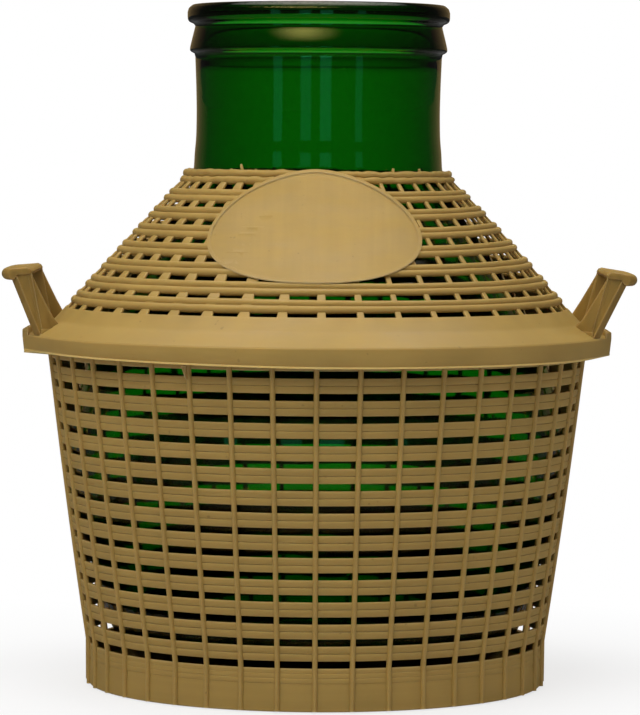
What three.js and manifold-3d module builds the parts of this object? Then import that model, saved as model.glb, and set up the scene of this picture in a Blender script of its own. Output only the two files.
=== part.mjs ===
// Plastic-covered demijohn: a wide-mouthed green glass bottle held between a moulded lattice
// basket and a moulded lattice cover, with two carrying handles pushed into the cover's ears.
// Millimetres, +Z up, origin at the middle of the foot, the bare badge towards -Y.

import * as THREE from 'three';
import { mergeVertices } from 'three/addons/utils/BufferGeometryUtils.js';
import Module from 'manifold-3d';

// Basket wall: ribs outside, slats inside, fourteen rows of gaps between foot and rim
const BASKET_COLUMNS = 40;
const SLAT_COUNT = 13;
const SLAT_PITCH = 11.17;
const SLAT_GAP = 3.6;
const SLAT_THICKNESS = 2.4;
const RIB_WIDTH = 2.7;
const RIB_CREST_WIDTH = 1.9;
const RIB_PROUD = 1.5;
const FOOT_TOP = 21.8;
const FOOT_RADIUS = 118.3;
const WALL_RADIUS_AT_FOOT_TOP = 118.5;
const WALL_DRAFT = 0.138;
const FLOOR_UNDERSIDE = 5.5;
const FLOOR_TOP = 9.7;
const FLOOR_RADIUS = 117.2;

// Basket rim flange, hidden under the cover's skirt
const RIM_TOP = 178;
const FLANGE_BOTTOM = 176.2;
const FLANGE_TOP = 179.6;
const FLANGE_INSET = 3;
const FLANGE_BORE = 136;

// Cover: a cone of eight rings on radial bars, closed below by a smooth collar
const COVER_COLUMNS = 42;
const RING_COUNT = 8;
const RING_RISE = 9;
const TOP_RING_HEIGHT = 265.05;
const RING_LENGTH = 7;
const RING_FRONT_LENGTH = 5.2;
const RING_FRONT_INSET = 0.3;
const RING_BACK_INSET = 2.6;
const REED_RADIUS = 1.75;
const BAR_WIDTH = 4.6;
const BAR_DEPTH = 1.8;
const CONE_RADIUS = 127.6;
const CONE_HEIGHT = 201.4;
const CONE_SPREAD = 0.906;
const COVER_BORE = 69.3;
const BORE_BOTTOM = 250;
const COVER_TOP = 268.3;
const HOOP_BOTTOM = 262.2;
const HOOP_BACK = 70.5;
const HOOP_FRONT = 72.4;
const HOOP_TOP_BACK = 70.2;
const HOOP_TOP_FRONT = 71.3;
const HOOP_BAR_RADIUS = 69.4;
const FLARE_BOTTOM = 180.8;
const FLARE_TOP = 196.4;
const FLARE_SUNK = 0.7;
const FLARE_RADIUS = 140.4;
const FLARE_THICKNESS = 3;

// Collar outline: a round rim with a square-ended ear on each side
const RIM_RADIUS = 149;
const EAR_REACH = 154;
const EAR_HALF_WIDTH = 36;
const EAR_CORNER = 10;
const LEDGE_TOP = 182.4;
const LEDGE_UNDERSIDE = 180;
const LEDGE_BORE = 138;
const SKIRT_BOTTOM = 172.5;
const SKIRT_THICKNESS = 2.2;
const RIM_STEPS = 20;
const CORNER_STEPS = 4;
const BORE_STEPS = 42;

// Badge: a smooth egg-shaped plate on the front of the cone, left bare
const BADGE_HALF_WIDTH = 54;
const BADGE_WIDEST = 230.4;
const BADGE_RISE = 37.6;
const BADGE_DROP = 18.4;
const BADGE_RISE_POWER = 1.72;
const BADGE_DROP_POWER = 2.35;
const BADGE_POINTS = 36;
const BADGE_PROUD = 0.9;
const BADGE_BACK = 3.4;
const BADGE_SKIN_BOTTOM = 206;
const BADGE_SKIN_TOP = 274;

// Glass bottle
const BOTTLE_SEGMENTS = 34;
const GLASS_WALL = 4;
const BOTTLE_BOTTOM = 10;
const PUNT_RISE = 9;
const PUNT_RADIUS = 52;
const PUNT_SHOULDER = 6.3;
const STANDING_RADIUS = 74;
const HEEL_RADIUS = 80;
const HEEL_RISE = 1;
const BOTTOM_THICKNESS = 7;
const BODY_POINTS = 18;
const THROAT_RADIUS = 64.3;
const MOUTH_BORE = 60;
const BEAD_RADIUS = 67.2;
const BEAD_BOTTOM = 328.9;
const BEAD_UNDERCUT = 1.6;
const GROOVE_HEIGHT = 341;
const LIP_RADIUS = 68.8;
const LIP_BOTTOM = 343;
const LIP_FLARE = 1.4;
const LIP_ROUND = 2.6;
const BOTTLE_TOP = 353.8;

// Outside of the bottle from its heel to its neck: radius, height
const BODY_LINE = [
  [86, BOTTLE_BOTTOM],
  [106, 28],
  [115, 54],
  [123, 95],
  [129.4, 139],
  [124.5, 166],
  [109.5, 194],
  [85.2, 231],
  [67.6, 257],
  [64.2, 279],
  [63.5, 294],
];

// Handles: two leaning legs with a tang each, under one grip bar
const HANDLE_LENGTH = 82;
const LEG_THICKNESS = 5;
const SLOT_CLEARANCE = 0.4;
const LEG_FOOT = LEDGE_TOP + SLOT_CLEARANCE;
const LEG_FOOT_OUTER = 147.6;
const LEG_TOP = 215.6;
const LEG_TOP_INNER = 150.4;
const LEG_TOP_OUTER = 160.6;
const TANG_BOTTOM = 174.4;
const TANG_INNER = 139.2;
const TANG_OUTER = 146;
const FIN_FOOT = 185.2;
const GRIP_INNER = 149.6;
const GRIP_OUTER = 166;
const GRIP_TOP = 218.8;
const GRIP_EDGE = 217.4;
const GRIP_EDGE_ROUND = 2;
const GRIP_UNDERSIDE = 214.4;
const GRIP_THROAT = 158.5;
const GRIP_THROAT_HEIGHT = 213.2;
const GRIP_LIP_RADIUS = 3.3;
const GRIP_LIP_HEIGHT = 215.3;

// Inner edge of a leg's fin, from the top down: distance from the axis, height
const FIN_EDGE = [
  [145.4, 201.5],
  [140.4, 193],
  [135.2, 188.4],
];

const LIP_SEGMENTS = 4;
const CUT_MARGIN = 1;

const wasm = await Module();
wasm.setup();

// Closed triangle mesh to solid: shared vertices merged and the slivers at a lathe's poles dropped
function solidOf(geometry) {
  const bare = geometry.clone();
  bare.deleteAttribute('normal');
  bare.deleteAttribute('uv');
  const merged = mergeVertices(bare, 1e-4);
  const index = merged.index.array;
  const triangles = [];
  for (let i = 0; i < index.length; i += 3) {
    const [a, b, c] = index.slice(i, i + 3);
    if (a !== b && b !== c && c !== a) triangles.push(a, b, c);
  }
  return new wasm.Manifold(new wasm.Mesh({
    numProp: 3,
    vertProperties: new Float32Array(merged.attributes.position.array),
    triVerts: new Uint32Array(triangles),
  }));
}

function geometryOf(solid) {
  const mesh = solid.getMesh();
  const geometry = new THREE.BufferGeometry();
  geometry.setAttribute('position', new THREE.BufferAttribute(mesh.vertProperties, 3));
  geometry.setIndex(new THREE.BufferAttribute(mesh.triVerts, 1));
  geometry.computeVertexNormals();
  return geometry;
}

const point = (radius, height) => new THREE.Vector2(radius, height);

// Solid of revolution about Z from (radius, height) points, with its first facet edge at -Y
function turned(points, segments) {
  return solidOf(new THREE.LatheGeometry(points, segments).rotateX(Math.PI / 2));
}

function closedRing(points, segments) {
  return turned([...points, points[0]], segments);
}

// Flat plate of a plan outline between two heights
function plate(shape, bottom, top) {
  const settings = { depth: top - bottom, bevelEnabled: false };
  return solidOf(new THREE.ExtrudeGeometry(shape, settings).translate(0, 0, bottom));
}

function block(low, high) {
  const size = new THREE.Vector3().subVectors(high, low);
  const middle = new THREE.Vector3().addVectors(low, high).multiplyScalar(0.5);
  const box = new THREE.BoxGeometry(size.x, size.y, size.z);
  return solidOf(box.translate(middle.x, middle.y, middle.z));
}

// Wall of straight bars crossing closed rings, one body with a window in every cell.
// Each edge is the lower or upper edge of a ring, bottom ring first: near is the point where the
// bars lie on the ring and far is the point on the ring's other side. Each crest is a corner of
// the bars' free side, at the edge whose number it gives. The bars lie outside the rings where
// the crest has the larger radius, and inside them otherwise.
function latticeWall({ columns, barWidth, crestWidth, edges, crests }) {
  const positions = [];
  const index = [];
  const barsInside = crests[0].at.x < edges[0].near.x;

  const corner = (at, column, offset) => {
    const angle = (column / columns) * 2 * Math.PI;
    const reach = Math.sqrt(at.x ** 2 - offset ** 2);
    positions.push(
      reach * Math.sin(angle) + offset * Math.cos(angle),
      offset * Math.sin(angle) - reach * Math.cos(angle),
      at.y,
    );
    return positions.length / 3 - 1;
  };
  const triangle = (a, b, c) => index.push(...(barsInside ? [a, c, b] : [a, b, c]));
  const quad = (a, b, c, d) => {
    triangle(a, b, c);
    triangle(a, c, d);
  };

  const everyColumn = [...Array(columns).keys()];
  const pairAt = (at, width) => everyColumn.map(
    (column) => [corner(at, column, -width / 2), corner(at, column, width / 2)],
  );
  const near = edges.map((edge) => pairAt(edge.near, barWidth));
  const far = edges.map((edge) => everyColumn.map((column) => corner(edge.far, column, 0)));
  const crest = crests.map(({ at }) => pairAt(at, crestWidth));
  const last = edges.length - 1;
  const lastCrest = crests.length - 1;

  for (const i of everyColumn) {
    const next = (i + 1) % columns;

    for (let low = 0; low < last; low += 2) {
      const high = low + 1;
      quad(near[low][i][1], near[low][next][0], near[high][next][0], near[high][i][1]);
      quad(far[low][i], far[high][i], far[high][next], far[low][next]);
      quad(near[high][i][1], near[high][next][0], far[high][next], far[high][i]);
      triangle(near[high][i][0], near[high][i][1], far[high][i]);
      quad(far[low][i], far[low][next], near[low][next][0], near[low][i][1]);
      triangle(far[low][i], near[low][i][1], near[low][i][0]);
    }

    for (let low = 1; low < last; low += 2) {
      const high = low + 1;
      quad(near[low][i][0], near[high][i][0], near[high][i][1], near[low][i][1]);
    }

    for (let k = 0; k < lastCrest; k += 1) {
      const [start, end] = [crests[k].edge, crests[k + 1].edge];
      quad(crest[k][i][0], crest[k][i][1], crest[k + 1][i][1], crest[k + 1][i][0]);
      for (let edge = start; edge < end; edge += 1) {
        triangle(crest[k][i][1], near[edge][i][1], near[edge + 1][i][1]);
        triangle(crest[k][i][0], near[edge + 1][i][0], near[edge][i][0]);
      }
      triangle(crest[k][i][1], near[end][i][1], crest[k + 1][i][1]);
      triangle(crest[k][i][0], crest[k + 1][i][0], near[end][i][0]);
    }

    quad(near[0][i][0], near[0][i][1], crest[0][i][1], crest[0][i][0]);
    quad(crest[lastCrest][i][0], crest[lastCrest][i][1], near[last][i][1], near[last][i][0]);
  }

  const geometry = new THREE.BufferGeometry();
  geometry.setAttribute('position', new THREE.Float32BufferAttribute(positions, 3));
  geometry.setIndex(index);
  return solidOf(geometry);
}

function arc(x, y, radius, start, end, steps) {
  return [...Array(steps + 1).keys()].map((step) => {
    const angle = start + ((end - start) * step) / steps;
    return point(x + radius * Math.cos(angle), y + radius * Math.sin(angle));
  });
}

// Plan outline of the collar, drawn in by inset: arcs joined by their tangent lines
function collarOutline(inset) {
  const earX = EAR_REACH - EAR_CORNER;
  const earY = EAR_HALF_WIDTH - EAR_CORNER;
  const spread = Math.acos((RIM_RADIUS - EAR_CORNER) / Math.hypot(earX, earY));
  const turn = Math.atan2(earY, earX) + spread;
  const corner = EAR_CORNER - inset;
  const rim = RIM_RADIUS - inset;
  return new THREE.Shape([
    ...arc(earX, -earY, corner, -turn, 0, CORNER_STEPS),
    ...arc(earX, earY, corner, 0, turn, CORNER_STEPS),
    ...arc(0, 0, rim, turn, Math.PI - turn, RIM_STEPS),
    ...arc(-earX, earY, corner, Math.PI - turn, Math.PI, CORNER_STEPS),
    ...arc(-earX, -earY, corner, Math.PI, Math.PI + turn, CORNER_STEPS),
    ...arc(0, 0, rim, Math.PI + turn, 2 * Math.PI - turn, RIM_STEPS),
  ]);
}

function roundHole(radius) {
  return new THREE.Path(arc(0, 0, radius, 0, 2 * Math.PI, BORE_STEPS).slice(1));
}

// The four places where a handle's tang goes down through the collar and the rim flange
function tangSlots(bottom, top) {
  const outer = HANDLE_LENGTH / 2 + SLOT_CLEARANCE;
  const inner = HANDLE_LENGTH / 2 - LEG_THICKNESS - SLOT_CLEARANCE;
  const slots = [];
  for (const front of [-outer, inner]) {
    const width = outer - inner;
    const near = TANG_INNER - SLOT_CLEARANCE;
    const far = TANG_OUTER + SLOT_CLEARANCE;
    for (const [from, to] of [[near, far], [-far, -near]]) {
      const low = new THREE.Vector3(from, front, bottom);
      slots.push(block(low, new THREE.Vector3(to, front + width, top)));
    }
  }
  return slots;
}

function cutSlots(body, bottom, top) {
  return tangSlots(bottom, top).reduce((rest, slot) => rest.subtract(slot), body);
}

function lowerBasket() {
  const wallRadius = (z) => WALL_RADIUS_AT_FOOT_TOP + WALL_DRAFT * (z - FOOT_TOP);
  const edgeAt = (radius, z) => ({ near: point(radius, z), far: point(radius - SLAT_THICKNESS, z) });

  const edges = [edgeAt(FOOT_RADIUS, 0), edgeAt(WALL_RADIUS_AT_FOOT_TOP, FOOT_TOP)];
  for (let slat = 0; slat < SLAT_COUNT; slat += 1) {
    const bottom = FOOT_TOP + SLAT_GAP + slat * SLAT_PITCH;
    const top = bottom + SLAT_PITCH - SLAT_GAP;
    edges.push(edgeAt(wallRadius(bottom), bottom), edgeAt(wallRadius(top), top));
  }
  const rimBottom = FOOT_TOP + SLAT_GAP + SLAT_COUNT * SLAT_PITCH;
  edges.push(edgeAt(wallRadius(rimBottom), rimBottom), edgeAt(wallRadius(RIM_TOP), RIM_TOP));

  const crests = [0, 1, edges.length - 1].map((edge) => {
    const { near } = edges[edge];
    return { edge, at: point(near.x + RIB_PROUD, near.y) };
  });
  const wall = latticeWall({
    columns: BASKET_COLUMNS,
    barWidth: RIB_WIDTH,
    crestWidth: RIB_CREST_WIDTH,
    edges,
    crests,
  });

  const floor = turned([
    point(0, FLOOR_UNDERSIDE),
    point(FLOOR_RADIUS, FLOOR_UNDERSIDE),
    point(FLOOR_RADIUS, FLOOR_TOP),
    point(0, FLOOR_TOP),
  ], BASKET_COLUMNS);

  const flangeShape = collarOutline(FLANGE_INSET);
  flangeShape.holes.push(roundHole(FLANGE_BORE));
  const flange = plate(flangeShape, FLANGE_BOTTOM, FLANGE_TOP);

  const body = wall.add(floor).add(flange);
  return cutSlots(body, FLANGE_BOTTOM - CUT_MARGIN, FLANGE_TOP + CUT_MARGIN);
}

// Outer line of the cone's reeds, and the directions along it and out of it
const coneRadius = (z) => CONE_RADIUS + CONE_SPREAD * (CONE_HEIGHT - z);
const SLOPE = Math.atan(CONE_SPREAD);
const upSlope = point(-Math.sin(SLOPE), Math.cos(SLOPE));
const outOfSlope = point(Math.cos(SLOPE), Math.sin(SLOPE));

// Point beside the cone: along its slope from a height, and sunk below its surface
function conePoint(z, along, sunk) {
  return point(coneRadius(z), z)
    .addScaledVector(upSlope, along)
    .addScaledVector(outOfSlope, -sunk);
}

function coverLattice() {
  const ringEdge = (z, side) => ({
    near: conePoint(z, (side * RING_LENGTH) / 2, RING_BACK_INSET),
    far: conePoint(z, (side * RING_FRONT_LENGTH) / 2, RING_FRONT_INSET),
  });
  const hoop = (z, back, front) => ({ near: point(back, z), far: point(front, z) });

  // Smooth band at the foot of the cone, standing in the ledge
  const edges = [
    hoop(FLARE_BOTTOM, FLARE_RADIUS - FLARE_THICKNESS, FLARE_RADIUS),
    {
      near: conePoint(FLARE_TOP, 0, RING_BACK_INSET),
      far: conePoint(FLARE_TOP, 0, FLARE_SUNK),
    },
  ];
  for (let ring = RING_COUNT - 1; ring >= 1; ring -= 1) {
    const middle = TOP_RING_HEIGHT - RING_RISE * ring + REED_RADIUS * outOfSlope.y;
    edges.push(ringEdge(middle, -1), ringEdge(middle, 1));
  }
  edges.push(
    hoop(HOOP_BOTTOM, HOOP_BACK, HOOP_FRONT),
    hoop(COVER_TOP, HOOP_TOP_BACK, HOOP_TOP_FRONT),
  );

  const last = edges.length - 1;
  const kink = last - 2;
  const behind = (edge) => point(edges[edge].near.x - BAR_DEPTH / outOfSlope.x, edges[edge].near.y);
  const crests = [
    { edge: 0, at: behind(0) },
    { edge: 1, at: behind(1) },
    { edge: kink, at: point(HOOP_BAR_RADIUS, edges[kink].near.y) },
    { edge: last, at: point(HOOP_BAR_RADIUS, COVER_TOP) },
  ];
  return latticeWall({
    columns: COVER_COLUMNS,
    barWidth: BAR_WIDTH,
    crestWidth: BAR_WIDTH,
    edges,
    crests,
  });
}

function badgeOutline() {
  const outline = [];
  for (let i = 0; i < BADGE_POINTS; i += 1) {
    const angle = ((i + 0.5) / BADGE_POINTS) * 2 * Math.PI;
    const above = Math.sin(angle) > 0;
    const power = 2 / (above ? BADGE_RISE_POWER : BADGE_DROP_POWER);
    const across = Math.sign(Math.cos(angle)) * Math.abs(Math.cos(angle)) ** power;
    const up = Math.sign(Math.sin(angle)) * Math.abs(Math.sin(angle)) ** power;
    const height = above ? BADGE_RISE : BADGE_DROP;
    outline.push(point(BADGE_HALF_WIDTH * across, BADGE_WIDEST + height * up));
  }
  return new THREE.Shape(outline);
}

// The badge is the part of a conical skin that lies behind its outline as seen from the front
function badgePlate() {
  const skin = closedRing([
    conePoint(BADGE_SKIN_TOP, 0, -BADGE_PROUD),
    conePoint(BADGE_SKIN_TOP, 0, BADGE_BACK),
    conePoint(BADGE_SKIN_BOTTOM, 0, BADGE_BACK),
    conePoint(BADGE_SKIN_BOTTOM, 0, -BADGE_PROUD),
  ], COVER_COLUMNS);
  const settings = { depth: RIM_RADIUS, bevelEnabled: false };
  const prism = new THREE.ExtrudeGeometry(badgeOutline(), settings).rotateX(Math.PI / 2);
  return skin.intersect(solidOf(prism));
}

function upperCover() {
  const ledgeShape = collarOutline(0);
  ledgeShape.holes.push(roundHole(LEDGE_BORE));
  const skirtShape = collarOutline(0);
  skirtShape.holes.push(collarOutline(SKIRT_THICKNESS));

  const ledge = plate(ledgeShape, LEDGE_UNDERSIDE, LEDGE_TOP);
  const skirt = plate(skirtShape, SKIRT_BOTTOM, (LEDGE_UNDERSIDE + LEDGE_TOP) / 2);
  const collar = cutSlots(ledge.add(skirt), SKIRT_BOTTOM, LEDGE_TOP + CUT_MARGIN);
  const bore = turned([
    point(0, BORE_BOTTOM),
    point(COVER_BORE, BORE_BOTTOM),
    point(COVER_BORE, COVER_TOP + CUT_MARGIN),
    point(0, COVER_TOP + CUT_MARGIN),
  ], COVER_COLUMNS);
  return coverLattice().add(collar).add(badgePlate()).subtract(bore);
}

function glassBottle() {
  const line = new THREE.SplineCurve(BODY_LINE.map(([radius, height]) => point(radius, height)));
  const body = line.getSpacedPoints(BODY_POINTS);
  const inside = body.map((at, i) => {
    const before = body[Math.max(i - 1, 0)];
    const after = body[Math.min(i + 1, body.length - 1)];
    const along = after.clone().sub(before).normalize();
    return point(at.x - GLASS_WALL * along.y, at.y + GLASS_WALL * along.x);
  });
  const bottomTop = BOTTLE_BOTTOM + BOTTOM_THICKNESS;
  const cavity = inside.filter((at) => at.y > bottomTop + GLASS_WALL).reverse();

  const mouth = [
    point(THROAT_RADIUS, BEAD_BOTTOM - BEAD_UNDERCUT),
    point(BEAD_RADIUS, BEAD_BOTTOM),
    point(THROAT_RADIUS, GROOVE_HEIGHT),
    point(THROAT_RADIUS, LIP_BOTTOM),
    point(LIP_RADIUS, LIP_BOTTOM + LIP_FLARE),
    point(LIP_RADIUS, BOTTLE_TOP - LIP_ROUND),
    point(LIP_RADIUS - LIP_ROUND, BOTTLE_TOP),
    point(MOUTH_BORE, BOTTLE_TOP),
  ];
  return turned([
    point(0, BOTTLE_BOTTOM + PUNT_RISE),
    point(PUNT_RADIUS, BOTTLE_BOTTOM + PUNT_SHOULDER),
    point(STANDING_RADIUS, BOTTLE_BOTTOM),
    ...body,
    ...mouth,
    ...cavity,
    point(HEEL_RADIUS, bottomTop + HEEL_RISE),
    point(PUNT_RADIUS, bottomTop + PUNT_SHOULDER),
    point(0, bottomTop + PUNT_RISE),
  ], BOTTLE_SEGMENTS);
}

// One handle on the +X side: the leg's side view is extruded along Y, and so is the grip's
function handle() {
  const legShape = new THREE.Shape([
    point(TANG_INNER, TANG_BOTTOM),
    point(TANG_OUTER, TANG_BOTTOM),
    point(TANG_OUTER, LEG_FOOT),
    point(LEG_FOOT_OUTER, LEG_FOOT),
    point(LEG_TOP_OUTER, LEG_TOP),
    point(LEG_TOP_INNER, LEG_TOP),
    ...FIN_EDGE.map(([out, height]) => point(out, height)),
    point(TANG_INNER, FIN_FOOT),
  ]);
  const lipCentre = GRIP_OUTER - GRIP_LIP_RADIUS;
  const gripShape = new THREE.Shape()
    .moveTo(GRIP_INNER, GRIP_UNDERSIDE)
    .lineTo(GRIP_THROAT, GRIP_THROAT_HEIGHT)
    .absarc(lipCentre, GRIP_LIP_HEIGHT, GRIP_LIP_RADIUS, -Math.PI / 2, Math.PI / 2)
    .lineTo(GRIP_INNER + GRIP_EDGE_ROUND, GRIP_TOP)
    .lineTo(GRIP_INNER, GRIP_EDGE);

  // Side views stand in the XZ plane: turned upright, an extrusion runs from its place towards -Y
  const upright = (shape, length, front) => {
    const settings = { depth: length, bevelEnabled: false, curveSegments: LIP_SEGMENTS };
    const side = new THREE.ExtrudeGeometry(shape, settings).rotateX(Math.PI / 2);
    return solidOf(side.translate(0, front + length, 0));
  };
  const half = HANDLE_LENGTH / 2;
  return upright(gripShape, HANDLE_LENGTH, -half)
    .add(upright(legShape, LEG_THICKNESS, -half))
    .add(upright(legShape, LEG_THICKNESS, half - LEG_THICKNESS));
}

const tanPlastic = new THREE.MeshStandardMaterial({ color: 0xb4945a, roughness: 0.5, metalness: 0 });
const greenGlass = new THREE.MeshStandardMaterial({ color: 0x0a5a1c, roughness: 0.06, metalness: 0 });

function piece(name, solid, material) {
  const mesh = new THREE.Mesh(geometryOf(solid), material);
  mesh.name = name;
  return mesh;
}

const demijohn = new THREE.Group();
demijohn.add(piece('lower_basket', lowerBasket(), tanPlastic));
demijohn.add(piece('glass_bottle', glassBottle(), greenGlass));
demijohn.add(piece('upper_cover', upperCover(), tanPlastic));

demijohn.add(piece('right_handle', handle(), tanPlastic));
const leftHandle = piece('left_handle', handle(), tanPlastic);
leftHandle.rotation.z = Math.PI;
demijohn.add(leftHandle);

export default demijohn;
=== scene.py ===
"""Looks of a plastic-covered demijohn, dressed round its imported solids.

A green glass bottle sits in a reeded lattice basket, under a conical lattice cover with a bare badge
and two carrying handles. Shapes are modelled in millimetres and scaled to metres when a piece is done.
Sections and outlines are (out, height) points, with out measured from the upright middle axis.
"""
import math

import bmesh
import bpy
from mathutils import Matrix, Vector, noise
from mathutils.geometry import interpolate_bezier


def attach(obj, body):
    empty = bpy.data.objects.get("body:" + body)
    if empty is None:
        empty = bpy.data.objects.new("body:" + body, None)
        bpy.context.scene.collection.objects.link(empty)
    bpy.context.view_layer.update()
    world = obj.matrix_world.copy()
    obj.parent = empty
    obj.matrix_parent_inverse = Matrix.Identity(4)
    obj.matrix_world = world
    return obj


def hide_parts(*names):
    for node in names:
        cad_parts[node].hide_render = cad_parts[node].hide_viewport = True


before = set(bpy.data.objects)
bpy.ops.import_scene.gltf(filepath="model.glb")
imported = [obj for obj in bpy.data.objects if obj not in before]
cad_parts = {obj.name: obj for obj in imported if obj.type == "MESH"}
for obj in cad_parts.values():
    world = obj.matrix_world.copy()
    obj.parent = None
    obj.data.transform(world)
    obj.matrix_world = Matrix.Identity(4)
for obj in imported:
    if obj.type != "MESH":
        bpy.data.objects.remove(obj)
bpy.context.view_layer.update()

MM = 0.001
FULL_TURN = 2 * math.pi
MERGE = 0.002
UPRIGHT = 2
LENGTHWISE = 1
LONG_EDGE = 1.0
FACING = 0.9
CUT_OVER = 1.0
CREASE = 38.0

# Basket wall
RIBS = 40
SLATS = 13
SLAT_PITCH = 11.17
SLAT_GAP = 3.6
SLAT_THICKNESS = 2.4
SLAT_REEDS = 2
SLAT_EDGE = 0.8
SLAT_BACK_EDGE = 0.3
REED_GROOVE = 0.5
REED_LINE = (0.0, 0.045, 0.11, 0.5, 0.89, 0.955)
REED_BULGE = (0.0, 0.75, 1.0, 1.05, 1.0, 0.75)
RIB_HALF_WIDTH = 1.32
RIB_PROUD = 1.6
RIB_SIDES = 12
RIB_SUNK = 0.1
RIB_FOOT = 0.3
RIB_STEPS = 8
FOOT_TOP = 21.8
FOOT_RADIUS = 118.9
FOOT_EDGE = ((-0.6, 0.0), (-0.1, 0.6), (0.0, 6.0))
FOOT_REEDED = 7.6
FOOT_REEDS = 3
FOOT_REED_DEPTH = 0.4
WALL_RADIUS = 118.5
WALL_DRAFT = 0.138
WALL_STEPS = 160
BELLY = 1.0
BELLY_HEIGHT = 80.0
BELLY_REACH = 90.0
FLOOR = (5.5, 9.7)
FLOOR_RADIUS = 117.2
RIM_TOP = 178.0
FLANGE = (176.2, 179.6)
FLANGE_INSET = 3.0
FLANGE_BORE = 136.0
WEB = (165.5, 172.0)
WEB_REACH = 3.2
WEB_SUNK = 0.5
WEB_PROUD = 0.7
WEB_RIB = -3

# Cover cone: rings of double reeds over bars, fuller on the left half
BARS = 42
RING_RISE = 9.0
RING_ROWS = 7
LAST_RING_LIFT = 0.75
TOP_RING = 263.75
REED_RADIUS = 1.78
REED_SPACING = 3.56
REED_SIDES = 13
REED_REACH = 158.0
LEFT_SWELL = 0.2
LEFT_BLEND = 0.3
CONE_RADIUS = 127.6
CONE_HEIGHT = 201.4
CONE_SPREAD = 0.906
CONE_STEPS = 168
SLOPE = math.atan(CONE_SPREAD)
UP_SLOPE = Vector((-math.sin(SLOPE), math.cos(SLOPE)))
OUT_OF_SLOPE = Vector((math.cos(SLOPE), math.sin(SLOPE)))
BAR_FIRST = math.radians(-89.0)
BAR_FOOT = 195.2
BAR_TOP = 264.0
BAR_CUTS = 31
BAR_SLIM = (3.0, 1.5)
BAR_SLIM_SUNK = 1.2
BAR_FULL = (5.2, 1.4)
BAR_FULL_SUNK = 1.35
BAR_TAPER = 0.3
BAR_ROUNDING = 0.45
BAR_BEAD = 0.32
BAR_BULGE = 1.05
BAR_RISE = 9.0
RIM_RING = (69.0, 264.6)
RIM_RING_LEAN = (-0.42, 0.91)
RIM_REED_SPACING = 3.3
RIM_REED_RADIUS = 1.75
RIGHT_LIFT = 1.9
RIGHT_LIFT_POWER = 4
UNEVEN = 0.14
UNEVEN_PITCH = 0.09
RIM_UNEVEN = 0.7
RIM_UNEVEN_PITCH = 0.22
UNEVEN_SEED = 5

# Trimmed stubs on the top ring: degrees to the right of the front, height, lean
STUBS = (
    (-34, 3.4, 0.25), (34, 1.5, -0.1), (-40, 1.0, 0.2), (-28, 0.9, -0.3),
    (50, 1.4, 0.2), (118, 1.6, 0.1), (201, 1.2, -0.2),
)
STUB_SIDES = 7
STUB_RADII = (1.1, 0.6)
STUB_SUNK = 1.6
STUB_PLACE = (68.0, 0.0, 266.3)

# Collar under the cone: ledge, ears and hanging skirt
RIM_RADIUS = 149.0
RIM_STEPS = 64
EAR_REACH = 152.8
EAR_HALF_WIDTH = 36.0
EAR_CORNER = 18.0
EAR_CORNER_STEPS = 10
EAR_LIP_RISE = 2.8
EAR_LIP_WIDTH = 2.6
EAR_LIP_SUNK = 1.4
EAR_LIP_ROUNDING = 0.7
EAR_ENDS = ((-167.0, -149.0), (149.0, 167.0))
EAR_END_DEPTH = 60.0
EAR_END_HEIGHTS = (170.0, 200.0)
LEDGE = (180.0, 182.4)
LEDGE_BORE = 137.0
LEDGE_ROUNDING = 0.8
SQUARE_EDGE = 60.0
SKIRT_BOTTOM = 172.5
SKIRT_THICKNESS = 2.2
SKIRT_DRAFT = 0.8
LEFT_SKIRT_LIFT = 1.9
LEFT_SKIRT_FROM = -135.0
SKIRT_LIFT = (
    (-152.8, 0.5), (-143.0, LEFT_SKIRT_LIFT), (LEFT_SKIRT_FROM, LEFT_SKIRT_LIFT),
    (0.0, 0.0), (138.0, 0.0), (152.8, 1.0),
)
FLASH = (-0.3, 0.6)
FLASH_REACH = 0.42
FLASH_RAGGED = 0.45
FLASH_PITCH = 0.3
FLASH_ENDS = (120.0, 146.0)
FLASH_CUTS = 3
FLASH_CUT_TOP = 3.0
FLARE_OUTSIDE = [
    (148.5, 182.5), (147.0, 183.45), (139.4, 188.35), (138.6, 188.87), (137.6, 189.55),
    (136.9, 190.25), (136.2, 190.95), (131.9, 195.75), (131.2, 196.5),
]
FLARE_INSIDE = [
    (129.4, 196.1), (129.0, 194.8), (134.2, 189.2), (137.0, 185.4), (138.0, 181.0), (148.5, 181.0),
]

# Badge: ridge steps are inset of the outer and inner edge, and height over the reeds
BADGE_HALF_WIDTH = 54.0
BADGE_WIDEST = 233.7
BADGE_RISE = 35.2
BADGE_DROP = 20.9
BADGE_TURN = math.radians(-1.0)
BADGE_RISE_POWER = 1.72
BADGE_DROP_POWER = 2.35
BADGE_POINTS = 96
BADGE_PROUD = 0.35
BADGE_BACK = 3.0
BADGE_RIDGE = ((0.0, 2.0, 0.52), (0.45, 1.5, 0.76))
BADGE_RIDGE_BACK = 2.5
BADGE_LIFT = ((250.0, 0.0), (263.0, 1.6))
BADGE_SKIN = (206.0, 274.0)
SKIN_STEPS = 26

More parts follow.
